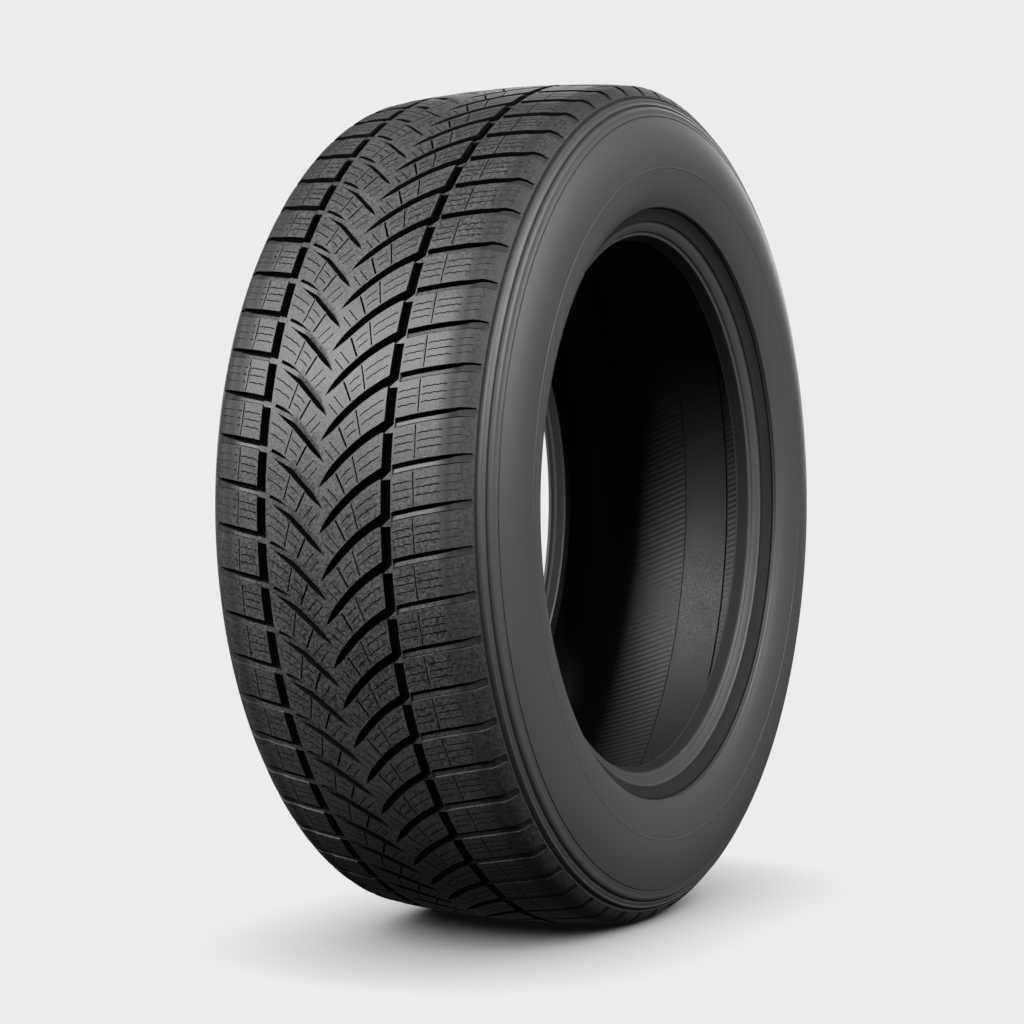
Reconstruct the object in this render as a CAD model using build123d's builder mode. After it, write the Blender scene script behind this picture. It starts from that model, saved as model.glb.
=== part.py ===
from build123d import *
import os
from math import cos, radians, sin, sqrt

# Car tyre, 235/55 R17: one moulded casing with a directional winter tread, standing on its tread.
# The wheel's centre is the origin, the axle runs along Y with the outboard sidewall at -Y, Z is up.

# Overall size
overall_diameter = 690.0
section_width = 250.0
widest_diameter = 560.0
bead_seat_diameter = 436.6

# Tread crown and shoulders
crown_width = 196.6
crown_taper = 6.4
shoulder_width = 216.4
shoulder_diameter = 658.0

# Rim protector, the lip that stands over the rim's flange
protector_width = 231.0
protector_diameter = 484.4
lip_thickness = 3.2
lip_slope = 1.2

# Beads
toe_spread = 173.0
bead_seat_width = 10.5
heel_width = 7.7
heel_height = 11.7

# Wall thickness and the inside of the beads
crown_thickness = 17.0
sidewall_thickness = 10.5
inner_crown_width = 180.0
shoulder_backing = 25.0
lip_backing = 12.0
bead_inside_lean = 2.5
bead_inside_height = 16.0

# Straight chords that stand for the round stretches of the section
upper_wall_chord_count = 3
lower_wall_chord_count = 2

# Tread pattern: arms that meet in a V, cross a ring groove and run out over the shoulder
pitch_count = 65
pattern_offset = 8.6
pattern_turn = 4.1
pattern_stagger = 0.55
ring_spacing = 104.0
ring_width = 7.4
ring_depth = 8.5
arm_depth = 6.3
arm_mouth = 8.4
arm_sweep = 41.0
lateral_width = 7.2
lateral_rise = 11.0

# Contact patch that the tyre stands on
contact_length = 92.0

# Heights above the axle
crown_top = overall_diameter / 2
widest = widest_diameter / 2
seat = bead_seat_diameter / 2
inner_crown = crown_top - crown_thickness
ground = sqrt(crown_top**2 - (contact_length / 2) ** 2)

# Points of the section, as places along the axle and heights above it
ring_offset = ring_spacing / 2
ring_places = (pattern_offset - ring_offset, pattern_offset + ring_offset)
crown_edge = (crown_width / 2, crown_top - crown_taper)
shoulder = (shoulder_width / 2, shoulder_diameter / 2)
wall_outside = (section_width / 2, widest)
lip_outside = (protector_width / 2, protector_diameter / 2)
lip_inside = (protector_width / 2 - lip_thickness, protector_diameter / 2 - lip_slope)
liner_low = (section_width / 2 - sidewall_thickness, lip_outside[1] + lip_backing)
liner_high = (section_width / 2 - sidewall_thickness, shoulder[1] - shoulder_backing)
toe = (toe_spread / 2, seat)
heel_edge = (toe_spread / 2 + bead_seat_width, seat)
heel_top = (heel_edge[0] + heel_width, seat + heel_height)
bead_inside = (toe[0] + bead_inside_lean, seat + bead_inside_height)
liner_edge = (inner_crown_width / 2, inner_crown)


def chords(arc, count):
    """An arc as a few straight chords, which keep the revolved wall light."""
    return Polyline(*[arc @ (step / count) for step in range(count + 1)])


def groove_plane(turn):
    """A plane under the tread that faces outward, with X outboard and Y up the front of the tyre."""
    outward = Vector(-cos(radians(turn)), 0, sin(radians(turn)))
    floor = (crown_top - arm_depth) * outward
    return Plane(origin=floor + Vector(0, pattern_offset, 0), x_dir=(0, -1, 0), z_dir=outward)


with BuildPart() as tyre:
    # Casing: half the section mirrored, closed by the crown, which is level between the ring grooves
    with BuildSketch(Plane.YZ):
        with BuildLine():
            upper_wall = TangentArc(wall_outside, shoulder, tangent=(0, 1), mode=Mode.PRIVATE)
            lower_wall = TangentArc(wall_outside, lip_outside, tangent=(0, -1), mode=Mode.PRIVATE)
            Line(crown_edge, shoulder)
            chords(upper_wall, upper_wall_chord_count)
            chords(lower_wall, lower_wall_chord_count)
            Polyline(lip_outside, lip_inside, heel_top, heel_edge, toe, bead_inside)
            Polyline(bead_inside, liner_low, liner_high, liner_edge, (0, inner_crown))
            mirror(about=Plane.YZ)
            level = [(place, crown_top) for place in ring_places]
            Polyline((-crown_edge[0], crown_edge[1]), *level, crown_edge)
        make_face()
    revolve(axis=Axis.Y)

    # Ring grooves
    with BuildSketch(Plane.YZ):
        with Locations(*[(place, crown_top) for place in ring_places]):
            Rectangle(ring_width, 2 * ring_depth)
    revolve(axis=Axis.Y, mode=Mode.SUBTRACT)

    # V grooves: an arm from the middle to the ring and a lateral from the ring out over the shoulder
    for side in (1, -1):
        first = pattern_turn + (0 if side > 0 else pattern_stagger * 360 / pitch_count)
        planes = [groove_plane(first + i * 360 / pitch_count) for i in range(pitch_count)]
        run_out = side * (shoulder_width / 2) + pattern_offset
        with BuildSketch(*planes):
            with BuildLine():
                Polyline(
                    (0, -arm_sweep),
                    (side * ring_offset, arm_mouth / 2),
                    (run_out, lateral_rise + lateral_width / 2),
                    (run_out, lateral_rise - lateral_width / 2),
                    (side * ring_offset, -arm_mouth / 2),
                    close=True,
                )
            make_face()
        extrude(amount=2 * arm_depth, mode=Mode.SUBTRACT, clean=False)

    # Flat of the contact patch
    split(bisect_by=Plane.XY.offset(-ground), keep=Keep.TOP)

tyre.part.label = "tyre"
os.makedirs("parts", exist_ok=True)
export_step(tyre.part, "parts/tyre.step")
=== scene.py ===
"""The looks of a car tyre: its moulded tread, sidewalls, beads and liner, and a plain studio round it.

Sizes are millimetres until a mesh is written, and metres after that. The axle is the Y axis, the outboard
sidewall is at -Y, and angles round the tyre run from -X, the front of the tread, towards +Z, the top.
"""

import logging
import math
from collections.abc import Callable
from dataclasses import dataclass, field
from enum import Enum
from functools import partial

import bmesh
import bpy
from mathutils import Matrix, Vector
from mathutils.geometry import delaunay_2d_cdt


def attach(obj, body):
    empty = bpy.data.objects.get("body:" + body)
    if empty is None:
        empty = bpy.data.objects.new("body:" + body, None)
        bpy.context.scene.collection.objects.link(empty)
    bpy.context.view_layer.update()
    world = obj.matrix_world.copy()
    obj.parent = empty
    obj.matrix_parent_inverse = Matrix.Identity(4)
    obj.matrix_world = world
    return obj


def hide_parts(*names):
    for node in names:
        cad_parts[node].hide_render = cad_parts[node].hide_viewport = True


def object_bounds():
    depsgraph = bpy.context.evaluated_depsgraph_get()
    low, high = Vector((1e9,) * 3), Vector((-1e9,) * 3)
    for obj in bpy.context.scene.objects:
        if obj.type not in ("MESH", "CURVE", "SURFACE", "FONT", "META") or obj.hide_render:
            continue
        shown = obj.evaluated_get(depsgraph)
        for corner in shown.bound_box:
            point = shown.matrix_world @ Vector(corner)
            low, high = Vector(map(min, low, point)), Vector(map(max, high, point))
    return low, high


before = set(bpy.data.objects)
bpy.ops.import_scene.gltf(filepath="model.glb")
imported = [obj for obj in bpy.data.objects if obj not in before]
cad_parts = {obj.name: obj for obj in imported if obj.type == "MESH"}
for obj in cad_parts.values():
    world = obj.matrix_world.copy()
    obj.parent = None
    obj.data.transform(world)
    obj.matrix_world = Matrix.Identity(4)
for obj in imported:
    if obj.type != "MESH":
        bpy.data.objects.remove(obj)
CAD_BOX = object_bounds()
LOG = logging.getLogger("tyre")
MM = 0.001
SAME_PLACE = 0.01
NODE = "tyre"
# The point attribute named groove holds painted shade: how much darker grooves, sipes, rings, the shoulder
# and the bead are painted, for the shade that falls in them.
PAINTED_SHADE = "groove"

Point = tuple[float, float]
Spot = tuple[float, float, float]
Floats = tuple[float, ...]
Points = tuple[Point, ...]
Socket = bpy.types.NodeSocket
Feed = float | Floats | Socket


class Side(Enum):
    """The two halves of the tread, by the way they run along the axle."""

    OUTBOARD = -1
    INBOARD = 1


class Region(Enum):
    """The parts of the tyre's skin, by material slot."""

    TREAD = 0
    SIDEWALL = 1
    LINER = 2
    # Faces deep in the grooves, in a near-black copy of the tread rubber: painted shade.
    SHADED_GROOVE = 3


def blend(start: float, end: float, share: float) -> float:
    """A value part of the way from start to end."""
    return start + (end - start) * share


def limited(value: float) -> float:
    """A value held between 0 and 1."""
    return min(max(value, 0.0), 1.0)


def grey(tone: float, cast: float = 1.0) -> Floats:
    """A colour of one tone, with its blue multiplied by cast."""
    return tone, tone, tone * cast, 1.0


def bezier(start: Point, control: Point, end: Point, share: float) -> Point:
    """The point at a share of a curve that leaves start towards control and reaches end from it."""
    rest = 1 - share
    return (
        rest * rest * start[0] + 2 * rest * share * control[0] + share * share * end[0],
        rest * rest * start[1] + 2 * rest * share * control[1] + share * share * end[1],
    )


def curve(start: Point, control: Point, end: Point, steps: int, first: int) -> list[Point]:
    """The points of such a curve cut into steps, from the first one named to the end."""
    return [bezier(start, control, end, i / steps) for i in range(first, steps + 1)]


@dataclass(frozen=True)
class Crown:
    """The outside of the tread across the tyre: an arched crown with a round shoulder each side.

    Places across it are lengths along the profile from the middle plane.
    """

    top: float = 345.0
    arch_radius: float = 920.0
    half_width: float = 92.0
    shoulder_lead: float = 9.5
    shoulder_end: Point = (108.1, 329.2)
    shoulder_run: float = 20.5

    @property
    def edge(self) -> float:
        """The place across the tyre where the tread ends."""
        return self.half_width + self.shoulder_run

    def place(self, across: float, depth: float) -> Point:
        """Finds a point of the tread in the tyre's section.

        Args:
            across: The length along the profile from the middle plane, negative outboard.
            depth: How far the point lies under the profile.

        Returns:
            Its place along the axle and its height above it.
        """
        reach = abs(across)
        flat = min(reach, self.half_width)
        spot = (flat, self.top - flat * flat / (2 * self.arch_radius))
        lean = (flat / self.arch_radius, 1.0)
        if reach > self.half_width:
            share = min((reach - self.half_width) / self.shoulder_run, 1.0)
            start, end = spot, self.shoulder_end
            corner = (start[0] + self.shoulder_lead, start[1] - lean[0] * self.shoulder_lead)
            spot = bezier(start, corner, end, share)
            lean = (
                blend(start[1] - corner[1], corner[1] - end[1], share),
                blend(corner[0] - start[0], end[0] - corner[0], share),
            )
        size = math.hypot(*lean)
        axial = spot[0] - depth * lean[0] / size
        return math.copysign(axial, across) if across else 0.0, spot[1] - depth * lean[1] / size


@dataclass
class Relief:
    """A flat pattern with depths, which is triangulated and then wrapped round the tyre."""

    points: list[Point] = field(default_factory=list)
    depths: list[float] = field(default_factory=list)
    edges: list[tuple[int, int]] = field(default_factory=list)
    outline: list[int] = field(default_factory=list)
    point_length: float = 0.9
    point_limit: float = 0.3
    on_edge: float = 1e-3
    merge: float = 1e-5

    def add(self, spot: Point, depth: float) -> int:
        """Adds one point and returns its number."""
        self.points.append(spot)
        self.depths.append(depth)
        return len(self.points) - 1

    def line(self, spots: list[Spot]) -> list[int]:
        """Adds a run of points joined by edges and returns their numbers."""
        ids = [self.add(spot[:2], spot[2]) for spot in spots]
        self.edges += list(zip(ids, ids[1:]))
        return ids

    def cut(self, path: list[Point], width: float, depth: float) -> None:
        """Adds a narrow V cut along a path, with pointed ends.

        Args:
            path: The points it passes through.
            width: The cut's width at the surface.
            depth: The depth of its root.
        """
        start, end = self.add(path[0], 0.0), self.add(path[-1], 0.0)
        asides = []
        for before, after in zip(path, path[2:]):
            run = (Vector(after) - Vector(before)).normalized()
            asides.append(Vector((-run.y, run.x)) * width / 2)
        for way, deep in ((1, 0.0), (0, depth), (-1, 0.0)):
            middle = zip(path[1:-1], asides)
            ids = self.line([(x + way * aside.x, y + way * aside.y, deep) for (x, y), aside in middle])
            self.edges += [(start, ids[0]), (ids[-1], end)]

    def slit(self, start: Point, end: Point, width: float, depth: float) -> None:
        """Adds a straight V cut with pointed ends.

        Args:
            start: One end of the cut.
            end: The other end.
            width: The cut's width at the surface.
            depth: The depth of its root.
        """
        run = Vector(end) - Vector(start)
        ahead = run.normalized() * min(self.point_length * width, self.point_limit * run.length)
        near, far = Vector(start) + ahead, Vector(end) - ahead
        self.cut([start, tuple(near), tuple(far), end], width, depth)

    def encloses(self, spot: Vector) -> bool:
        """Tells whether a point lies inside the pattern's outline.

        Args:
            spot: The point.

        Returns:
            Whether it does.
        """
        inside = False
        corners = [self.points[i] for i in self.outline]
        for (x0, y0), (x1, y1) in zip(corners, corners[1:] + corners[:1]):
            if (y0 > spot.y) != (y1 > spot.y) and spot.x < x0 + (spot.y - y0) * (x1 - x0) / (y1 - y0):
                inside = not inside
        return inside

    def crossing_depth(self, spot: Vector) -> float:
        """Finds the depth of a point where edges cross, which is that of the deepest one.

        Args:
            spot: The point.

        Returns:
            Its depth.
        """
        found = [0.0]
        for first, last in self.edges:
            start, end = Vector(self.points[first]), Vector(self.points[last])
            run = end - start
            share = (spot - start).dot(run) / max(run.length_squared, self.merge**2)
            if 0 <= share <= 1 and (start + run * share - spot).length < self.on_edge:
                found.append(blend(self.depths[first], self.depths[last], share))
        return max(found)

    def triangles(self) -> tuple[list[Spot], list[list[int]]]:
        """Triangulates the pattern inside its outer edge.

        Returns:
            The points with their depths, and the triangles' point numbers.
        """
        flat = [Vector(spot) for spot in self.points]
        spots, _, faces, sources, _, _ = delaunay_2d_cdt(flat, self.edges, [], 1, self.merge, True)
        solid = []
        for spot, source in zip(spots, sources):
            depth = max(self.depths[i] for i in source) if source else self.crossing_depth(spot)
            solid.append((spot.x, spot.y, depth))
        middles = [sum((spots[i] for i in face), Vector((0, 0))) / len(face) for face in faces]
        return solid, [face for face, middle in zip(faces, middles) if self.encloses(middle)]


@dataclass
class TreadHalf:
    """One pitch of half the tread: a band of blocks between two V grooves, from the middle to the shoulder.

    Flat places are (out, up): out from the V's middle line along the axle, and up the front of the tyre from
    where the arm, the curved groove, meets the ring groove. The shoulder groove is called the lateral. Each
    groove is split along its floor, so the band's long edges are the same line, one pitch apart. The profile
    of the lateral lists, from its upper edge down, how far each line lies below it and how deep it is.
    The dash and the bar have their heights in pairs, at the ring groove's inner and outer wall.
    """

    crown: Crown
    pitch: float
    edge_rise: float
    sway_turn: float = 0.0
    relief: Relief = field(default_factory=Relief)
    side: Side = Side.OUTBOARD
    middle: float = 9.2
    middle_steps: int = 20
    sway: float = 3.4
    edge_steps: int = 3
    edge_groove: float = 1.2
    ring_inner: float = 49.4
    ring_outer: float = 57.0
    ring_lip: float = 0.3
    draft: float = 0.7
    groove_depth: float = 8.0
    rail_steps: int = 6
    dash_low: Point = (3.5, 2.8)
    dash_high: Point = (-5.8, -5.3)
    bar_depth: float = 1.7
    bar_low: Point = (-5.1, -4.6)
    bar_high: Point = (-4.5, 2.0)
    bar_foot: Point = (-3.4, 2.5)
    bar_inset: float = 0.5
    foot_inset: float = 0.9
    block_low: float = 3.0
    arm_mouth: Point = (49.4, -0.4)
    arm_control: Point = (24.2, -12.8)
    arm_tip: Point = (-1.4, -44.2)
    arm_low: float = -4.7
    arm_high: float = 3.9
    arm_half: float = 3.4
    arm_lead: float = 1.0
    arm_swell: float = 2.2
    arm_slim: float = 0.2
    arm_taper: float = 0.2
    arm_round: float = 0.7
    arm_floor_share: float = 0.45
    arm_stations: int = 12
    arm_probe: float = 0.01
    full_half: float = 2.38
    tip_gap: float = 1.2
    lateral_start: float = 5.4
    lateral_gap: float = 0.9
    lateral_sill: float = 0.0
    lateral_control: Point = (80.0, 12.8)
    lateral_end: Point = (118.0, 14.9)
    lateral_stop: float = 110.2
    lateral_walls: Point = (0.5, 0.8)
    lateral_taper: Point = (80.0, 110.2)
    lateral_end_share: float = 0.25
    lateral_profile: Points = (
        (0.0, 0.0), (0.5, 6.2), (2.1, 6.2), (3.5, 1.8), (6.3, 1.2), (6.7, 2.6), (7.3, 0.0)
    )
    shoulder_profile: Floats = (0.0, 1.3, 1.3, 1.0, 0.8, 0.8, 0.0)
    lateral_split: int = 3
    lateral_fade: Point = (90.0, 109.0)
    lateral_stations: int = 10
    sipe_width: float = 0.8
    sipe_depth: float = 4.0
    sipe_step: float = 2.9
    sipe_wave: float = 0.26
    centre_sipes: Floats = (0.33, 0.67)
    centre_margin: float = 5.0
    outer_cross: Point = (31.2, 25.6)
    outer_cross_width: float = 1.1
    outer_cross_gap: float = 1.4
    inner_cross: Point = (20.9, 12.6)
    inner_cross_width: float = 1.54
    inner_cross_gap: float = 1.6
    cross_depth: float = 6.4
    cross_margins: Point = (4.7, 4.9)
    ring_gap: float = 1.2
    inner_sipes: tuple[Spot, ...] = ((11.0, 5.0, 12.0), (15.5, 5.0, 13.5))
    shoulder_sipes: Floats = (0.30, 0.515, 0.727)
    sipe_stop: float = 86.5
    lip_gap: float = 0.5
    ring_slit: float = 74.7
    slit_lean: float = 0.5
    slit_margin: float = 0.4
    slit_width: float = 0.9
    slit_depth: float = 5.6
    slit_gap: float = 1.0
    faint_gap: float = 1.5
    faint_stop: float = 103.0
    faint_steps: int = 6
    faint_width: float = 0.48
    faint_depth: float = 0.8
    row_places: Floats = (82.0, 84.5, 87.0, 89.5, 92.0, 94.5, 97.2, 100.2, 103.2, 106.2, 109.2)
    row_shares: Floats = (0.12, 0.4, 0.62, 0.88)
    row_margin: float = 1.5
    shoulder_zone: Point = (82.0, 91.0)
    hollow_middle: float = 89.5
    hollow_half: float = 8.5
    hollow_depth: float = 0.9
    # Painted shade, from 0 to 1: in the hollow, over the shoulder zone, in its recesses and along the
    # tread's edge, and growing with depth from dark_from over dark_run. Faces deeper than groove_from get
    # the near-black groove rubber.
    hollow_shade: float = 0.1
    shoulder_shade: float = 0.17
    edge_shade: float = 0.35
    recess_shade: float = 0.12
    dark_from: float = 1.8
    dark_run: float = 2.2
    groove_from: float = 2.6

    @property
    def reach(self) -> float:
        """How far out the half runs, from the V's middle line to the tread's edge."""
        return self.out_at(self.crown.edge)

    @property
    def lip(self) -> float:
        """The distance out of the shoulder block's edge along the ring groove."""
        return self.ring_outer + self.ring_lip

    @property
    def lateral_width(self) -> float:
        """The width of the shoulder groove."""
        return self.lateral_profile[-1][0]

    def out_at(self, across: float) -> float:
        """The distance out of a place that lies that far from the tyre's middle plane."""
        return across + (self.middle if self.side is Side.OUTBOARD else -self.middle)

    def passed(self, out: float, zone: Point) -> float:
        """How much of a zone, given by its places from the middle plane, lies inside a distance out."""
        return limited((out - self.out_at(zone[0])) / (zone[1] - zone[0]))

    def middle_line(self, up: float) -> float:
        """Where the border with the other half lies, that far up. It sways round the arms' tips."""
        turn = (up - self.arm_tip[1]) / self.pitch + self.sway_turn
        return -self.sway * math.cos(2 * math.pi * turn)

    def finish(self, out: float, depth: float) -> Point:
        """Adds the shallow hollow round the shoulder blocks to a point of the pattern, and finds its painted
        shade.

        Args:
            out: The point's distance out.
            depth: Its depth in the pattern.

        Returns:
            Its whole depth, and its painted shade, from 0 to 1.
        """
        place = (out - self.out_at(self.hollow_middle)) / self.hollow_half
        share = max(0.0, 1 - place * place) ** 2
        # Painted shade: darker with depth, in the hollow, and over the shoulder zone, more where it is
        # recessed.
        dark = limited((depth - self.dark_from) / self.dark_run) + share * self.hollow_shade
        shade = self.shoulder_shade + self.recess_shade * min(depth, 1.0)
        dark += shade * self.passed(out, self.shoulder_zone)
        # The line along the tread's edge is painted dark, a painted shade.
        if out > self.reach - SAME_PLACE:
            dark = self.edge_shade
        return depth + share * self.hollow_depth, min(dark, 1.0)

    def region(self, depths: list[float]) -> Region:
        """The material slot of a face whose corners lie that deep: deep groove faces get a near-black copy
        of the rubber, a painted shade.
        """
        return Region.SHADED_GROOVE if max(depths) > self.groove_from else Region.TREAD

    def arm(self, share: float) -> tuple[Vector, Vector, float]:
        """Follows the curved groove from the ring to its tip.

        Args:
            share: The place along the groove, 0 at the ring and 1 at the tip.

        Returns:
            The middle of the groove there, the direction to its upper edge and half its width.
        """
        path = partial(bezier, self.arm_mouth, self.arm_control, self.arm_tip)
        ahead, back = min(share + self.arm_probe, 1.0), max(share - self.arm_probe, 0.0)
        run = (Vector(path(ahead)) - Vector(path(back))).normalized()
        taper = min(1.0, (1 - share) / self.arm_taper) ** self.arm_round
        lead = min(1.0, self.arm_lead + self.arm_swell * share)
        half = self.arm_half * (1 - self.arm_slim * share) * taper * lead
        return Vector(path(share)), Vector((run.y, -run.x)), half

    def arm_rise(self, out: float) -> float:
        """How far up the middle of the curved groove is, that far out."""
        share = (self.arm_mouth[0] - out) / (self.arm_mouth[0] - self.arm_tip[0])
        return bezier(self.arm_mouth, self.arm_control, self.arm_tip, share)[1]

    def arm_floor(self, half: float) -> float:
        """The depth of the curved groove's floor, which rises where the groove is narrow."""
        return self.groove_depth * min(1.0, half / self.full_half)

    def arm_border(self, station: int) -> Spot:
        """The band's edge at one station of the curved groove, in the middle of its floor."""
        spot, _, half = self.arm(station / self.arm_stations)
        return spot.x, spot.y, self.arm_floor(half)

    def arm_edge(self, way: float, inset: float) -> list[Spot]:
        """One edge of the curved groove, from near the tip to near the ring.

        Args:
            way: 1 for the upper edge of the groove and -1 for the lower one.
            inset: How far inside the groove the line runs, which puts it on the floor.

        Returns:
            The line's places and depths.
        """
        spots = []
        for i in range(self.arm_stations - 1, 0, -1):
            spot, aside, half = self.arm(i / self.arm_stations)
            gap = max(half - inset, self.arm_floor_share * half) if inset else half
            edge = spot + aside * way * gap
            spots.append((edge.x, edge.y, self.arm_floor(half) if inset else 0.0))
        return spots

    def lateral_rise(self, out: float) -> float:
        """How far up the upper edge of the shoulder groove is, that far out."""
        start = (self.ring_outer, self.lateral_start)
        share = (out - start[0]) / (self.lateral_end[0] - start[0])
        return bezier(start, self.lateral_control, self.lateral_end, share)[1]

    def lateral_places(self) -> list[float]:
        """The distances out of the stations along the shoulder groove, with a steep wall at each end."""
        start, stop = self.ring_outer + self.lateral_gap, self.out_at(self.lateral_stop)
        near, far = start + self.lateral_walls[0], stop - self.lateral_walls[1]
        count = self.lateral_stations
        return [start, *[blend(near, far, i / count) for i in range(count + 1)], stop]

    def lateral_line(self, number: int) -> list[Spot]:
        """One line of the shoulder groove's profile, from the ring to the shoulder.

        Args:
            number: The line's number in the profile.

        Returns:
            The line's places and depths.
        """
        drop, deep = self.lateral_profile[number]
        places = self.lateral_places()
        spots = []
        for out in places:
            depth = blend(deep, self.shoulder_profile[number], self.passed(out, self.lateral_fade))
            if out == places[0]:
                depth = min(depth, self.lateral_sill)
            elif out == places[-1]:
                depth = 0.0
            taper = self.passed(out, self.lateral_taper) if number <= self.lateral_split else 0.0
            narrow = blend(1.0, self.lateral_end_share, taper)
            spots.append((out, self.lateral_rise(out) - drop * narrow, depth))
        return spots

    def line_above(self, spots: list[Spot]) -> list[int]:
        """Draws a line one pitch further up than its places say."""
        return self.relief.line([(out, up + self.pitch, depth) for out, up, depth in spots])

    def draw_rail(self, out: float, low: float, high: float, depth: float) -> None:
        """Draws a line up the ring groove, from one height to another that counts from the next pitch."""
        heights = [blend(low, self.pitch + high, i / self.rail_steps) for i in range(self.rail_steps + 1)]
        self.relief.line([(out, up, depth) for up in heights])

    def floor_line(self, heights: Point) -> list[Spot]:
        """A line across the ring groove's floor, by its heights at the two walls."""
        places = (self.ring_inner + self.draft, self.ring_outer - self.draft)
        return [(out, up, self.groove_depth) for out, up in zip(places, heights)]

    def crossing(self) -> list[Spot]:
        """The band's edge across the ring groove, along the tie bar's foot and up to the shoulder block."""
        foot = self.floor_line(self.dash_low)[1]
        return [(*self.arm_mouth, self.groove_depth), foot, (self.lip, self.block_low, 0.0)]

    def boundary(self) -> list[Spot]:
        """The lower edge of the band, along the grooves' floors, as places and depths."""
        first = self.arm_tip[1] - self.tip_gap
        spots = [(self.middle_line(first), first, 0.0), (*self.arm_tip, 0.0)]
        spots += [self.arm_border(i) for i in range(self.arm_stations - 1, 0, -1)]
        spots += self.crossing()
        spots += self.lateral_line(self.lateral_split)
        spots.append((self.reach - self.edge_groove, self.edge_rise, 0.0))
        spots.append((self.reach, self.edge_rise, self.edge_groove))
        return spots

    def build(self) -> tuple[list[Spot], list[list[int]]]:
        """Draws the band's grooves and sipes and triangulates it.

        Returns:
            The points with their depths, and the triangles' point numbers.
        """
        self.draw_outline()
        self.draw_arms()
        self.draw_ring()
        self.draw_laterals()
        self.draw_centre_sipes()
        self.draw_shoulder_sipes()
        self.draw_shoulder_rows()
        return self.relief.triangles()

    def draw_outline(self) -> None:
        """Draws the outer edge of the band."""
        relief = self.relief
        lower = relief.line(self.boundary())
        upper = self.line_above(self.boundary())
        first, last = relief.points[lower[0]], relief.points[lower[-1]]
        steps = [first[1] + self.pitch * i / self.middle_steps for i in range(1, self.middle_steps)]
        inside = relief.line([(self.middle_line(up), up, 0.0) for up in steps])
        steps = [last[1] + self.pitch * i / self.edge_steps for i in range(1, self.edge_steps)]
        outside = relief.line([(last[0], up, self.edge_groove) for up in steps])
        relief.outline = [*lower, *outside, *reversed(upper), *reversed(inside)]
        relief.edges += list(zip(relief.outline, relief.outline[1:] + relief.outline[:1]))

    def draw_arms(self) -> None:
        """Draws the edges and floors of the curved grooves, which open into the ring groove."""
        tip = (*self.arm_tip, 0.0)
        inner, deep = self.ring_inner, self.groove_depth
        foot = (inner + self.foot_inset, self.bar_foot[0], deep)
        self.relief.line([tip, *self.arm_edge(1.0, 0.0), (inner, self.arm_high, 0.0)])
        self.relief.line([*self.arm_edge(1.0, self.draft), (inner + self.draft, self.dash_low[0], deep)])
        self.line_above([tip, *self.arm_edge(-1.0, 0.0), (inner, self.arm_low, 0.0)])
        self.line_above([*self.arm_edge(-1.0, self.draft), foot])

    def draw_rails(self) -> None:
        """Draws the two sides of the ring groove's dash on its floor."""
        for low, high in zip(self.floor_line(self.dash_low), self.dash_high):
            self.draw_rail(low[0], low[1], high, low[2])

    def draw_ring(self) -> None:
        """Draws the ring groove's dash and the tie bar above it, which spreads towards the shoulder."""
        inner, outer, bar = self.ring_inner, self.ring_outer, self.bar_depth
        near, far = inner + self.bar_inset, (outer, self.bar_high[1], bar)
        self.draw_rail(inner, self.arm_high, self.arm_low, 0.0)
        self.draw_rails()
        self.draw_rail(self.lip, self.block_low, self.block_low, 0.0)
        self.line_above(self.floor_line(self.dash_high))
        self.line_above([(near, self.bar_low[0], bar), (outer, self.bar_low[1], bar), far])
        self.line_above([(near, self.bar_high[0], bar), far])
        foot = (inner + self.foot_inset, self.bar_foot[0], self.groove_depth)
        self.line_above([foot, self.floor_line(self.bar_foot)[1]])

    def draw_laterals(self) -> None:
        """Draws the shoulder groove's lines on both sides of the band's edge."""
        for number in range(len(self.lateral_profile)):
            if number < self.lateral_split:
                self.relief.line(self.lateral_line(number))
            elif number > self.lateral_split:
                self.line_above(self.lateral_line(number))

    def draw_sipe(self, start: float, end: float, rise: Callable[[float], float]) -> None:
        """Draws one sipe, a fine cut that steps up and down along its way.

        Args:
            start: Where it starts, out from the V's middle line.
            end: Where it ends.
            rise: How far up it is at each distance out.
        """
        count = max(2, round((end - start) / self.sipe_step))
        path = [(start, rise(start))]
        for i in range(count):
            out = blend(start, end, (i + 0.5) / count)
            path.append((out, rise(out) + self.sipe_wave * (1 if i % 2 else -1)))
        path.append((end, rise(end)))
        self.relief.cut(path, self.sipe_width, self.sipe_depth)

    def band_rise(self, share: float, out: float) -> float:
        """How far up a line along the centre block is, a share of the way between its grooves."""
        return self.arm_rise(out) + blend(self.centre_margin, self.pitch - self.centre_margin, share)

    def block_rise(self, share: float, out: float) -> float:
        """How far up a line along the shoulder block is, a share of the way between its grooves."""
        return self.lateral_rise(out) + share * (self.pitch - self.lateral_width)

    def draw_centre_sipes(self) -> None:
        """Draws the two cuts across the centre block and the sipes between them."""
        crosses = ((self.outer_cross, self.outer_cross_width), (self.inner_cross, self.inner_cross_width))
        for (foot, head), width in crosses:
            low = (foot, self.arm_rise(foot) + self.cross_margins[0])
            high = (head, self.arm_rise(head) + self.pitch - self.cross_margins[1])
            self.relief.slit(low, high, width, self.cross_depth)
        for share in self.centre_sipes:
            outer = blend(*self.outer_cross, share)
            inner = blend(*self.inner_cross, share)
            rise = partial(self.band_rise, share)
            self.draw_sipe(outer + self.outer_cross_gap, self.ring_inner - self.ring_gap, rise)
            self.draw_sipe(inner + self.inner_cross_gap, outer - self.outer_cross_gap, rise)
        for out, lift, length in self.inner_sipes:
            start = Vector((out, self.arm_rise(out) + lift))
            end = start + Vector((-1, 1)).normalized() * length
            self.relief.slit(tuple(start), tuple(end), self.sipe_width, self.sipe_depth)

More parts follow.
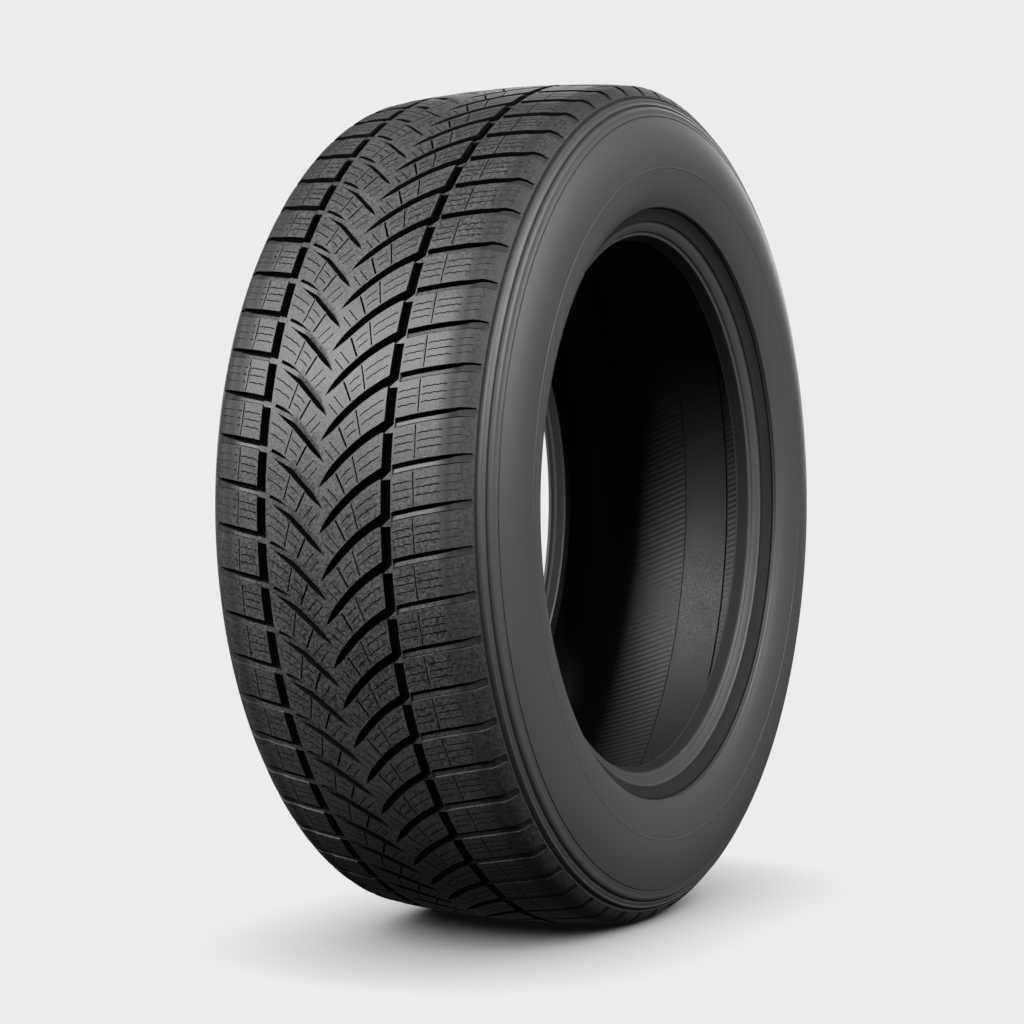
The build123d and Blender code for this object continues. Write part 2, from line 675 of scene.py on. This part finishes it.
    def draw_shoulder_sipes(self) -> None:
        """Draws the cut across the shoulder block, the sipes each side of it and their faint ends."""
        out, lean = self.ring_slit, self.slit_lean
        low = self.lateral_rise(out) + self.slit_margin
        high = self.pitch + self.lateral_rise(out) - self.lateral_width - self.slit_margin
        self.relief.slit((out + lean, low), (out - lean, high), self.slit_width, self.slit_depth)
        stop, faint = self.out_at(self.sipe_stop), self.out_at(self.faint_stop)
        steps = self.faint_steps
        for share in self.shoulder_sipes:
            rise = partial(self.block_rise, share)
            self.draw_sipe(self.lip + self.lip_gap, out - self.slit_gap, rise)
            self.draw_sipe(out + self.slit_gap, stop, rise)
            places = [blend(stop + self.faint_gap, faint, i / steps) for i in range(steps + 1)]
            self.relief.cut([(place, rise(place)) for place in places], self.faint_width, self.faint_depth)

    def draw_shoulder_rows(self) -> None:
        """Adds rows of points that carry the round of the shoulder."""
        for across in self.row_places:
            out = self.out_at(across)
            low = self.lateral_rise(out) + self.row_margin
            high = self.pitch + self.lateral_rise(out) - self.lateral_width - self.row_margin
            for share in self.row_shares:
                self.relief.add((out, blend(low, high, share)), 0.0)
        steps = [self.edge_rise + self.pitch * i / self.edge_steps for i in range(self.edge_steps + 1)]
        self.relief.line([(self.reach - self.edge_groove, up, 0.0) for up in steps])


@dataclass
class InboardHalf(TreadHalf):
    """The inboard half, where a shallow bar crosses the ring groove and goes on as a ramp along the arm.

    The ramp leaves a wedge of the groove above its first stretch, and the rest of the groove lies below it.
    Stations are numbered from the ring, and offsets are half widths of the groove from its middle, positive
    upward.
    """

    side: Side = Side.INBOARD
    ring_inner: float = 47.1
    ring_outer: float = 54.4
    dash_low: Point = (1.1, 2.9)
    dash_high: Point = (-4.3, -2.9)
    bar_depth: float = 1.2
    bar_low: Point = (-3.6, -2.0)
    bar_middle: Point = (-0.9, 1.2)
    bar_high: Point = (0.4, 2.3)
    bar_end: float = -1.1
    arm_mouth: Point = (43.5, -2.4)
    arm_control: Point = (22.8, -14.3)
    arm_tip: Point = (-2.5, -44.2)
    arm_half: float = 3.7
    arm_lead: float = 0.55
    full_half: float = 2.5
    lateral_start: float = 5.9
    lateral_gap: float = 0.3
    lateral_sill: float = 6.0
    lateral_profile: Points = (
        (0.0, 0.0), (0.5, 6.0), (3.0, 6.0), (4.4, 1.5), (6.6, 1.1), (6.9, 1.9), (7.3, 0.0)
    )
    ring_slit: float = 71.8
    ramp_drop: float = 1.5
    ramp_start: int = 1
    ramp_meet: int = 5
    ramp_lead: float = -0.2
    ramp_middle: float = 0.05
    ramp_close: float = 8.4
    ramp_slope: float = 0.14
    ramp_runs: Point = (2.0, 3.0)
    wedge_stations: Floats = (4, 3, 2, 1, 0.3)
    floor_shares: Point = (0.2, 0.8)

    def ramp_low(self, station: float) -> float:
        """The offset of the ramp's lower edge, which rises to the middle, and further near the tip."""
        share = limited((station - self.ramp_start) / (self.ramp_meet - self.ramp_start))
        return blend(-1.0, self.ramp_middle, share) + self.ramp_slope * max(station - self.ramp_close, 0.0)

    def ramp_high(self, station: float) -> float:
        """The offset of the ramp's upper edge, which rises to the groove's own upper edge."""
        return min(1.0, blend(self.ramp_lead, 1.0, station / self.ramp_meet))

    def ramp_depth(self, station: float) -> float:
        """The depth of the ramp, which is level with the blocks at both its ends."""
        down, up = self.ramp_runs
        share = min((station - self.ramp_start) / down, (self.arm_stations - station) / up)
        return self.ramp_drop * limited(share)

    def arm_spot(self, station: float, offset: float, depth: float) -> Spot:
        """A point of the curved groove, by its station, offset and depth."""
        spot, aside, half = self.arm(station / self.arm_stations)
        edge = spot + aside * offset * half
        return edge.x, edge.y, depth

    def pit(self, station: float, span: float) -> float:
        """The depth of a stretch of the curved groove that is span half widths wide."""
        return self.arm_floor(span * self.arm(station / self.arm_stations)[2])

    def arm_border(self, station: int) -> Spot:
        """The band's edge at one station of the curved groove, along the ramp's lower edge."""
        return self.arm_spot(station, self.ramp_low(station), self.ramp_depth(station))

    def bar_side(self, edge: Point) -> list[Spot]:
        """The bar's outline from its middle line round one of its edges, given by its heights."""
        places = (self.ring_inner, self.ring_inner, self.ring_outer, self.ring_outer)
        heights = (self.bar_middle[0], *edge, self.bar_middle[1])
        return [(out, up, self.bar_depth) for out, up in zip(places, heights)]

    def crossing(self) -> list[Spot]:
        """The band's edge across the ring groove: past the curved groove's end and along the bar."""
        bar = self.bar_side(self.bar_high)
        end = (self.ring_inner - self.ring_lip, self.bar_end, 0.0)
        return [self.arm_spot(0, -1.0, 0.0), end, bar[0], bar[-1]]

    def draw_arms(self) -> None:
        """Draws the curved grooves: the edges, the ramp and the floors above and below it."""
        last, meet, spot = self.arm_stations, self.ramp_meet, self.arm_spot
        tip = (*self.arm_tip, 0.0)
        mouth = spot(0, self.ramp_high(0), 0.0)
        self.relief.line([tip, *[spot(i, 1.0, 0.0) for i in range(last - 1, -1, -1)], mouth])
        ramp = [spot(i, self.ramp_high(i), self.ramp_depth(i)) for i in range(meet - 1, -1, -1)]
        self.relief.line([spot(meet, 1.0, 0.0), *ramp])
        wedge = [(i, 1 - self.ramp_high(i)) for i in self.wedge_stations]
        pits = [(i, 1 + self.ramp_low(i)) for i in range(self.ramp_start + 1, last)]
        for share in self.floor_shares:
            self.relief.line([spot(i, 1 - share * span, self.pit(i, span)) for i, span in wedge])
            self.line_above([spot(i, share * span - 1, self.pit(i, span)) for i, span in pits])
        lower = [spot(i, -1.0, 0.0) for i in range(self.ramp_start, last)]
        self.line_above([*lower, tip])

    def draw_ring(self) -> None:
        """Draws the ring groove's dash between two bars, which opens into the shoulder groove."""
        self.draw_rail(self.ring_inner - self.ring_lip, self.bar_end, self.bar_end, 0.0)
        self.draw_rails()
        start = self.lateral_places()[0]
        low = self.lateral_rise(start)
        self.draw_rail(start, low, low - self.lateral_width, 0.0)
        self.relief.line(self.floor_line(self.dash_low))
        self.relief.line(self.bar_side(self.bar_high))
        self.line_above(self.floor_line(self.dash_high))
        self.line_above(self.bar_side(self.bar_low))


@dataclass
class Section:
    """Half the tyre's section below the tread: the outside of the sidewall, the bead and the liner.

    Points are (axial, height above the axle), with the axial place measured from the middle plane. Spots add
    a painted shade, how much darker the rubber is painted there, from 0 to 1. A round lists points by their
    offsets from the one it is named after. Steps list the share of the way between two points and how far
    each stands off the straight line.
    """

    wall_middle: Point = (45.0, 280.0)
    wall_radius: float = 80.0
    wall_steps: int = 16
    wall_gap: float = 0.2
    rings: tuple[Spot, ...] = (
        (326.4, 1.6, 0.7),
        (322.2, 1.8, -0.9),
        (319.0, 4.0, 0.6),
        (313.3, 1.3, -0.5),
        (272.4, 1.2, 0.3),
    )
    ring_shape: Points = (
        (-0.5, 0.0), (-0.36, 0.6), (-0.15, 1.0), (0.15, 1.0), (0.36, 0.6), (0.5, 0.0)
    )
    ring_clear: float = 0.6
    # Painted shade: in the sunken rings, along the tread's edge and in the undercut's notch, on the flange
    # seat, between the heel's ribs and on the bead seat.
    line_shade: float = 0.35
    flange_shade: float = 0.35
    heel_shade: float = 0.07
    seat_shade: float = 0.33
    lip: Point = (115.5, 242.2)
    lip_rise: float = 3.0
    lip_round: Points = ((0.4, 1.4), (0.0, 0.0), (-0.9, -0.9), (-3.0, -1.2))
    undercut: Point = (110.5, 240.5)
    undercut_round: Points = ((1.5, 0.0), (0.0, 0.0), (0.2, -1.5))
    flange_steps: Points = ((0.35, 0.0), (0.7, 0.0), (0.93, 0.0), (1.0, 0.7))
    heel_top: Point = (104.7, 230.0)
    heel_edge: Point = (96.5, 219.6)
    heel_steps: Points = (
        (0.08, 0.9), (0.2, 0.8), (0.3, 0.1), (0.7, 0.1), (0.78, 0.8), (0.9, 0.9), (1.0, 0.2)
    )
    rib_lift: float = 0.5
    seat_steps: Points = ((0.1, 0.0), (0.35, 0.0), (0.65, 0.0), (0.92, 0.0))
    toe: Point = (86.6, 215.9)
    toe_round: Points = ((0.0, 0.0), (-1.0, 0.9), (-0.6, 2.6))
    toe_bend: Point = (86.2, 226.0)
    bead_inside: Point = (89.0, 234.0)
    bead_bend: Point = (115.5, 248.0)
    liner_wall: Point = (116.0, 280.0)
    liner_bend: Point = (116.0, 324.0)
    liner_edge: Point = (75.0, 326.5)
    inner_crown: float = 328.0
    crown_sag: float = 0.4
    strip_half: float = 20.5
    strip_shift: float = 11.0
    strip_height: float = 0.8
    strip_round: Points = ((1.4, 0.0), (0.5, 0.6))

    @property
    def strip(self) -> float:
        """The height of the smooth strip under the crown."""
        return self.inner_crown - self.strip_height

    def wall_point(self, height: float, lift: float) -> Point:
        """A point on the sidewall, by its height above the axle and how far it stands proud of the wall."""
        turn = math.asin((height - self.wall_middle[1]) / self.wall_radius)
        radius = self.wall_radius + lift
        return self.wall_middle[0] + radius * math.cos(turn), self.wall_middle[1] + radius * math.sin(turn)

    def wall(self, start: float) -> list[Spot]:
        """The sidewall from the tread's edge down to the lip, with its moulded rings, the sunken ones
        painted darker as painted shade.

        Args:
            start: The height at which the sidewall starts.

        Returns:
            Its spots.
        """
        end = self.lip[1] + self.lip_rise
        heights = [(blend(start, end, i / self.wall_steps), 0.0) for i in range(1, self.wall_steps + 1)]
        for middle, width, lift in self.rings:
            heights = [spot for spot in heights if abs(spot[0] - middle) > self.ring_clear * width]
            heights += [(middle + share * width, lift * rise) for share, rise in self.ring_shape]
        heights = sorted((spot for spot in heights if spot[0] < start - self.wall_gap), reverse=True)
        return [(*self.wall_point(*spot), self.line_shade * max(-spot[1], 0.0)) for spot in heights]

    def bead(self) -> list[Spot]:
        """The lip, the flange seat, the heel with its two ribs, the bead seat and the toe, with painted
        shade in the undercut's notch, on the flange seat, between the ribs and on the bead seat.
        """
        spots = [(*point, 0.0) for point in self.around(self.lip, self.lip_round)]
        shades = (self.line_shade, 1.0, self.flange_shade)
        notch = self.around(self.undercut, self.undercut_round)
        spots += [(*point, dark) for point, dark in zip(notch, shades)]
        for step in self.flange_steps:
            spots.append((*self.lifted(self.undercut, self.heel_top, *step), self.flange_shade))
        for step in self.heel_steps:
            dark = 0.0 if step[1] > self.rib_lift else self.heel_shade
            spots.append((*self.lifted(self.heel_top, self.heel_edge, *step), dark))
        for step in self.seat_steps:
            spots.append((*self.lifted(self.heel_edge, self.toe, *step), self.seat_shade))
        return spots + [(*point, 0.0) for point in self.around(self.toe, self.toe_round)]

    @staticmethod
    def around(place: Point, offsets: Points) -> list[Point]:
        """The points that lie at some offsets from a place."""
        return [(place[0] + axial, place[1] + height) for axial, height in offsets]

    @staticmethod
    def lifted(start: Point, end: Point, share: float, lift: float) -> Point:
        """A point between two others that stands off the line by lift, towards the outside of the tyre."""
        run = Vector(end) - Vector(start)
        aside = Vector((-run.y, run.x)).normalized()
        spot = Vector(start) + run * share - aside * lift
        return spot.x, spot.y

    def liner(self, side: Side) -> list[Point]:
        """The inside of the tyre from the toe up to the smooth strip under the crown.

        Args:
            side: The half of the tyre that it belongs to.

        Returns:
            Its points.
        """
        edge = self.strip_half - side.value * self.strip_shift
        points = curve(self.toe, self.toe_bend, self.bead_inside, 4, 2)
        points += curve(self.bead_inside, self.bead_bend, self.liner_wall, 6, 1)
        points += curve(self.liner_wall, self.liner_bend, self.liner_edge, 7, 1)
        points.append((blend(self.liner_edge[0], edge, 0.5), self.inner_crown - self.crown_sag))
        points += self.around((edge, self.inner_crown), self.strip_round)
        return [*points, (edge, self.strip)]


@dataclass
class Graph:
    """A shader's node tree, with short ways to add nodes to it."""

    tree: bpy.types.NodeTree

    def feed(self, node: bpy.types.Node, inputs: dict[str | int, Feed]) -> bpy.types.Node:
        """Fills a node's inputs.

        Args:
            node: The node.
            inputs: What goes into each input, by its name or number: a value, or the output that feeds it.

        Returns:
            The node.
        """
        for key, given in inputs.items():
            if isinstance(given, Socket):
                self.tree.links.new(given, node.inputs[key])
            else:
                node.inputs[key].default_value = given
        return node

    def add(self, kind: str, inputs: dict[str | int, Feed]) -> bpy.types.Node:
        """Adds a node of a kind and fills its inputs."""
        return self.feed(self.tree.nodes.new(kind), inputs)

    def use(self, group: bpy.types.NodeTree, inputs: dict[str | int, Feed]) -> bpy.types.Node:
        """Adds a shared node group and fills its inputs."""
        node = self.tree.nodes.new("ShaderNodeGroup")
        node.node_tree = group
        return self.feed(node, inputs)

    def math(self, operation: str, *terms: Feed) -> Socket:
        """Adds an operation on some terms and returns its result."""
        node = self.add("ShaderNodeMath", dict(enumerate(terms)))
        node.operation = operation
        return node.outputs["Value"]

    def tint(self, share: Socket, first: Feed, second: Feed) -> Socket:
        """Adds a mix of two colours and returns its result."""
        node = self.tree.nodes.new("ShaderNodeMix")
        node.data_type = "RGBA"
        return self.feed(node, {"Factor": share, "A": first, "B": second}).outputs["Result"]

    def remap(self, value: Socket, low: float, high: float, start: float = 0.0, end: float = 1.0) -> Socket:
        """Maps the values between low and high to those between start and end, and returns the result."""
        spans = {"From Min": low, "From Max": high, "To Min": start, "To Max": end}
        return self.add("ShaderNodeMapRange", {"Value": value, **spans}).outputs["Result"]


@dataclass(frozen=True)
class RubberFinish:
    """A moulded rubber surface: its colours, gloss and grain, and the painted shade that darkens it where
    the groove attribute says.
    """

    name: str
    colour: float
    light: float
    roughness: float
    specular: float
    grain_scale: float
    grain_height: float
    ridge_height: float = 0.0
    cast: float = 1.02
    gloss_spread: Point = (-0.06, 0.08)
    painted_shade_tone: float = 0.003
    painted_shade_reach: float = 0.35
    groove_roughness: float = 0.3
    bump_strength: float = 0.6

    def build(self, grain: bpy.types.NodeTree, ridges: bpy.types.NodeTree) -> bpy.types.Material:
        """Makes the material.

        Args:
            grain: The node group that gives the moulded grain.
            ridges: The node group that gives the liner's ridges.

        Returns:
            The material.
        """
        material = bpy.data.materials.new(self.name)
        material.use_nodes = True
        graph = Graph(material.node_tree)
        texture = graph.use(grain, {"Scale": self.grain_scale})
        mottle, height = texture.outputs["Mottle"], texture.outputs["Height"]
        # Painted shade: the groove attribute darkens the base colour towards a near-black tone, in grooves,
        # rings, the shoulder and the bead.
        shade = graph.add("ShaderNodeAttribute", {})
        shade.attribute_name = PAINTED_SHADE
        dark = graph.remap(shade.outputs["Fac"], 0.0, self.painted_shade_reach)
        plain = graph.tint(mottle, grey(self.colour, self.cast), grey(self.light, self.cast))
        least, most = (self.roughness + spread for spread in self.gloss_spread)
        gloss = graph.remap(mottle, 0.0, 1.0, least, most)
        matt = graph.math("MULTIPLY_ADD", dark, self.groove_roughness, gloss)
        if self.ridge_height:
            wave = graph.use(ridges, {}).outputs["Height"]
            height = graph.math("MULTIPLY_ADD", wave, self.ridge_height / self.grain_height, height)
        form = {"Strength": self.bump_strength, "Distance": self.grain_height * MM, "Height": height}
        looks = {
            "Base Color": graph.tint(dark, plain, grey(self.painted_shade_tone)),
            "Roughness": graph.math("MINIMUM", matt, 1.0),
            "Specular IOR Level": self.specular,
            "Normal": graph.add("ShaderNodeBump", form).outputs["Normal"],
        }
        graph.feed(material.node_tree.nodes["Principled BSDF"], looks)
        return material


def grain_group() -> bpy.types.NodeTree:
    """Builds the moulded grain that all the rubber shares.

    Returns:
        A node group with a Scale input, and Height and Mottle outputs.
    """
    group = bpy.data.node_groups.new("moulded_grain", "ShaderNodeTree")
    group.interface.new_socket("Scale", in_out="INPUT", socket_type="NodeSocketFloat")
    group.interface.new_socket("Height", in_out="OUTPUT", socket_type="NodeSocketFloat")
    group.interface.new_socket("Mottle", in_out="OUTPUT", socket_type="NodeSocketFloat")
    graph = Graph(group)
    scale = graph.add("NodeGroupInput", {}).outputs["Scale"]
    place = graph.add("ShaderNodeTexCoord", {}).outputs["Object"]
    fine = graph.add("ShaderNodeTexNoise", {"Vector": place, "Scale": scale, "Detail": 4.0}).outputs["Fac"]
    broad = graph.add("ShaderNodeTexNoise", {"Vector": place, "Scale": 14.0, "Detail": 3.0}).outputs["Fac"]
    both = graph.add("ShaderNodeMix", {"Factor": 0.2, "A": fine, "B": broad}).outputs["Result"]
    graph.add("NodeGroupOutput", {"Height": fine, "Mottle": graph.remap(both, 0.36, 0.64)})
    return group


def ridge_group(count: int, slope: float, middle: float, half: float) -> bpy.types.NodeTree:
    """Builds the slanted ridges that the moulding bladder leaves on the liner beside its smooth strip.

    Args:
        count: How many ridges go round the tyre.
        slope: How far a ridge turns round the axle for each metre along it, in radians.
        middle: The place of the strip's middle along the axle, in metres.
        half: Half the strip's width.

    Returns:
        A node group with a Height output.
    """
    group = bpy.data.node_groups.new("bladder_ridges", "ShaderNodeTree")
    group.interface.new_socket("Height", in_out="OUTPUT", socket_type="NodeSocketFloat")
    graph = Graph(group)
    place = graph.add("ShaderNodeTexCoord", {}).outputs["Object"]
    axes = graph.add("ShaderNodeSeparateXYZ", {"Vector": place}).outputs
    turn = graph.math("ARCTAN2", axes["Z"], axes["X"])
    slant = graph.math("MULTIPLY_ADD", axes["Y"], slope, turn)
    wave = graph.math("SINE", graph.math("MULTIPLY", slant, count))
    aside = graph.math("ABSOLUTE", graph.math("SUBTRACT", axes["Y"], middle))
    band = graph.remap(aside, half + MM, half + 3 * MM)
    graph.add("NodeGroupOutput", {"Height": graph.math("MULTIPLY", wave, band)})
    return group


@dataclass
class Skin:
    """The tyre's surface as it is gathered: points, the painted shade of each, faces and the region of each
    face.
    """

    spots: list[Vector] = field(default_factory=list)
    shades: list[float] = field(default_factory=list)
    faces: list[list[int]] = field(default_factory=list)
    regions: list[int] = field(default_factory=list)

    def mesh(self, name: str, sharp_angle: float) -> bpy.types.Mesh:
        """Joins the gathered faces into one closed mesh.

        Args:
            name: The mesh's name.
            sharp_angle: The angle in degrees from which an edge isn't shaded round.

        Returns:
            The mesh.
        """
        mesh = bpy.data.meshes.new(name)
        mesh.from_pydata(self.spots, [], self.faces)
        mesh.polygons.foreach_set("material_index", self.regions)
        # The painted shade goes into the groove attribute.
        mesh.attributes.new(PAINTED_SHADE, "FLOAT", "POINT").data.foreach_set("value", self.shades)
        form = bmesh.new()
        form.from_mesh(mesh)
        bmesh.ops.remove_doubles(form, verts=form.verts, dist=SAME_PLACE * MM)
        bmesh.ops.recalc_face_normals(form, faces=form.faces)
        open_edges = sum(1 for edge in form.edges if len(edge.link_faces) != 2)
        form.to_mesh(mesh)
        form.free()
        mesh.shade_smooth()
        mesh.set_sharp_from_angle(angle=math.radians(sharp_angle))
        mesh.calc_loop_triangles()
        LOG.info("%s: %d triangles, %d open edges", name, len(mesh.loop_triangles), open_edges)
        return mesh


@dataclass
class Tyre:
    """The whole moulded tyre, as one closed skin."""

    crown: Crown = field(default_factory=Crown)
    section: Section = field(default_factory=Section)
    pitch_count: int = 65
    pattern_radius: float = 343.5
    first_pitch: float = 4.1
    stagger: float = 0.55
    edge_rise: float = 12.0
    sharp_angle: float = 32.0
    ridge_count: int = 386
    ridge_slope: float = 1.28

    @property
    def pitch(self) -> float:
        """The length of one pitch round the tread."""
        return 2 * math.pi * self.pattern_radius / self.pitch_count

    def finishes(self) -> list[RubberFinish]:
        """The rubber of each region, in the order of the regions; the groove rubber is the tread rubber made
        near-black, a painted shade.
        """
        tread = RubberFinish("tread_rubber", 0.009, 0.07, 0.5, 0.48, 480.0, 0.35)
        sidewall = RubberFinish("sidewall_rubber", 0.047, 0.056, 0.5, 0.45, 1500.0, 0.05)
        liner = RubberFinish("liner_rubber", 0.008, 0.013, 0.5, 0.3, 700.0, 0.2, ridge_height=0.15)
        # Painted shade: the deep grooves get a near-black, nearly glossless copy of the tread rubber.
        groove = RubberFinish("groove_painted_shade", 0.004, 0.006, 0.8, 0.06, 900.0, 0.05)
        return [tread, sidewall, liner, groove]

    def spot(self, angle: float, axial: float, height: float) -> Vector:
        """A point of the tyre in metres, pressed flat where the tyre stands on the ground."""
        up = max(height * math.sin(angle) * MM, CAD_BOX[0][2])
        return Vector((-height * math.cos(angle) * MM, axial * MM, up))

    def build(self) -> bpy.types.Object:
        """Makes the tyre's skin and dresses it.

        Returns:
            The tyre's object.
        """
        skin = Skin()
        for side in Side:
            self.add_tread(side, skin)
        self.add_casing(skin)
        mesh = skin.mesh("tyre_skin", self.sharp_angle)
        grain = grain_group()
        middle, half = -self.section.strip_shift * MM, self.section.strip_half * MM
        ridges = ridge_group(self.ridge_count, self.ridge_slope, middle, half)
        for finish in self.finishes():
            mesh.materials.append(finish.build(grain, ridges))
        tyre = bpy.data.objects.new("moulded_tyre", mesh)
        bpy.context.scene.collection.objects.link(tyre)
        return tyre

    def add_tread(self, side: Side, skin: Skin) -> None:
        """Adds one half of the tread, pitch by pitch.

        Args:
            side: The half.
            skin: The surface that it adds to.
        """
        inboard = side is Side.INBOARD
        shift = self.stagger if inboard else 0.0
        steps = TreadHalf.edge_steps
        edge_rise = self.edge_rise - (shift - round(shift * steps) / steps) * self.pitch
        kind = InboardHalf if inboard else TreadHalf
        half = kind(self.crown, self.pitch, edge_rise, self.stagger - 0.5 if inboard else 0.0)
        flat, triangles = half.build()
        LOG.info("tread half %s: %d triangles a pitch", side.name.lower(), len(triangles))
        kinds = [half.region([flat[i][2] for i in face]).value for face in triangles]
        start = math.radians(self.first_pitch)
        for number in range(self.pitch_count):
            base = len(skin.spots)
            for out, up, depth in flat:
                whole, dark = half.finish(out, depth)
                axial, height = self.crown.place(half.middle + side.value * out, whole)
                turn = start + (up + (number + shift) * self.pitch) / self.pattern_radius
                skin.spots.append(self.spot(turn, axial, height))
                skin.shades.append(dark)
            skin.faces += [[base + i for i in face] for face in triangles]
            skin.regions += kinds

    def add_casing(self, skin: Skin) -> None:
        """Adds the sidewalls, beads and liner, turned round the axle.

        Args:
            skin: The surface that it adds to.
        """
        section = self.section
        edge = self.crown.place(self.crown.edge, TreadHalf.edge_groove)
        # The row at the tread's edge gets the rings' painted shade.
        outside = [(*edge, section.line_shade), *section.wall(edge[1]), *section.bead()]
        near, far = (outside + [(*point, 0.0) for point in section.liner(side)] for side in Side)
        loop = [(-axial, height, dark) for axial, height, dark in near]
        loop += [(0.0, section.strip, 0.0), *reversed(far)]
        rows, toe = len(loop), len(outside) - len(section.toe_round)
        columns = TreadHalf.edge_steps * self.pitch_count
        start = math.radians(self.first_pitch) + self.edge_rise / self.pattern_radius
        base = len(skin.spots)
        for number in range(columns):
            angle = start + 2 * math.pi * number / columns
            skin.spots += [self.spot(angle, axial, height) for axial, height, _ in loop]
            skin.shades += [dark for _, _, dark in loop]
        for number in range(columns):
            here, there = base + number * rows, base + (number + 1) % columns * rows
            for row in range(rows - 1):
                skin.faces.append([here + row, here + row + 1, there + row + 1, there + row])
                inside = min(row, rows - 2 - row) > toe
                skin.regions.append(Region.LINER.value if inside else Region.SIDEWALL.value)


@dataclass(frozen=True)
class SoftBox:
    """A square lamp that faces the tyre, by its place and side in metres and its power in watts."""

    name: str
    place: Spot
    side: float
    power: float

    def build(self) -> None:
        """Makes the lamp."""
        data = bpy.data.lights.new(self.name, "AREA")
        data.size = self.side
        data.energy = self.power
        lamp = bpy.data.objects.new(self.name, data)
        lamp.location = self.place
        lamp.rotation_euler = (-Vector(self.place)).to_track_quat("-Z", "Y").to_euler()
        bpy.context.scene.collection.objects.link(lamp)


@dataclass
class Studio:
    """A pale floor and backdrop, with a painted shadow on the floor under the tyre, soft lights and the
    camera.
    """

    camera_place: Spot = (-1.802608, -0.887996, 0.017557)
    camera_turn: float = -62.981
    camera_tilt: float = 0.7
    image_side: float = 1024.0
    focal_pixels: float = 2394.0
    sensor: float = 36.0
    sight: float = 50.0
    paper: float = 0.84
    floor_half: float = 30.0
    shadow_reach: float = 0.17
    shadow_samples: int = 32
    shadow_tones: Points = ((0.08, 0.004), (0.36, 0.462))
    shadow_rim: float = 0.85
    sky_span: Point = (-0.5, 0.9)
    sky_light: Point = (0.05, 0.14)
    boxes: tuple[SoftBox, ...] = (
        SoftBox("key_box", (-2.7, -0.65, 1.4), 1.0, 38.0),
        SoftBox("tread_box", (-2.2, 1.2, 1.5), 1.2, 122.0),
        SoftBox("wall_box", (0.1, -3.0, 1.7), 1.6, 150.0),
        SoftBox("back_box", (2.6, 0.6, 0.9), 1.8, 55.0),
    )

    def build(self) -> None:
        """Makes the whole studio."""
        self.build_camera()
        self.build_floor()
        self.build_sky()
        for box in self.boxes:
            box.build()

    def build_camera(self) -> None:
        """Places the camera where the photograph was taken from."""
        data = bpy.data.cameras.new("camera")
        data.sensor_width = self.sensor
        data.lens = self.focal_pixels / self.image_side * self.sensor
        data.clip_end = self.sight
        camera = bpy.data.objects.new("camera", data)
        camera.location = self.camera_place
        camera.rotation_euler = (math.radians(90 - self.camera_tilt), 0, math.radians(self.camera_turn))
        bpy.context.scene.collection.objects.link(camera)
        bpy.context.scene.camera = camera

    def build_floor(self) -> None:
        """Makes the pale floor, which glows with the backdrop's colour and has a painted shadow under the
        tyre, from ambient occlusion.
        """
        size, ground = self.floor_half, CAD_BOX[0][2]
        mesh = bpy.data.meshes.new("floor")
        corners = [(x * size, y * size, ground) for x, y in ((-1, -1), (1, -1), (1, 1), (-1, 1))]
        mesh.from_pydata(corners, [], [[0, 1, 2, 3]])
        material = bpy.data.materials.new("floor_paper")
        material.use_nodes = True
        graph, nodes = Graph(material.node_tree), material.node_tree.nodes
        nodes.remove(nodes["Principled BSDF"])
        # Painted shadow: ambient occlusion darkens the glowing floor near the tyre.
        cover = graph.add("ShaderNodeAmbientOcclusion", {"Distance": self.shadow_reach})
        cover.samples = self.shadow_samples
        tone = graph.add("ShaderNodeValToRGB", {"Fac": cover.outputs["AO"]})
        stops = tone.color_ramp.elements
        stops.new(self.shadow_tones[1][0])
        for stop, (place, shade) in zip(stops, (*self.shadow_tones, (self.shadow_rim, self.paper))):
            stop.position = place
            stop.color = grey(shade)
        glow = graph.add("ShaderNodeEmission", {"Color": tone.outputs["Color"]})
        graph.feed(nodes["Material Output"], {"Surface": glow.outputs["Emission"]})
        mesh.materials.append(material)
        floor = bpy.data.objects.new("floor", mesh)
        floor.visible_diffuse = False
        floor.visible_glossy = False
        bpy.context.scene.collection.objects.link(floor)

    def build_sky(self) -> None:
        """Makes the backdrop's even tone, and a soft light from all round that is stronger from above."""
        world = bpy.data.worlds.new("studio")
        world.use_nodes = True
        graph, nodes = Graph(world.node_tree), world.node_tree.nodes
        place = graph.add("ShaderNodeTexCoord", {}).outputs["Generated"]
        axes = graph.add("ShaderNodeSeparateXYZ", {"Vector": place}).outputs
        strength = graph.remap(axes["Z"], *self.sky_span, *self.sky_light)
        soft = graph.feed(nodes["Background"], {"Color": grey(1.0), "Strength": strength})
        plain = graph.add("ShaderNodeBackground", {"Color": grey(self.paper)})
        path = graph.add("ShaderNodeLightPath", {})
        looks = {1: soft.outputs["Background"], 2: plain.outputs["Background"]}
        mix = graph.add("ShaderNodeMixShader", {"Fac": path.outputs["Is Camera Ray"], **looks})
        graph.feed(nodes["World Output"], {"Surface": mix.outputs["Shader"]})
        bpy.context.scene.world = world
        bpy.context.scene.view_settings.view_transform = "Standard"


def main() -> None:
    """Builds the tyre and the studio round it."""
    logging.basicConfig(level=logging.INFO, format="%(name)s: %(message)s")
    tyre = Tyre().build()
    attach(tyre, "root")
    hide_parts(NODE)
    Studio().build()
    LOG.info("studio ready")


if __name__ == "__main__":
    main()
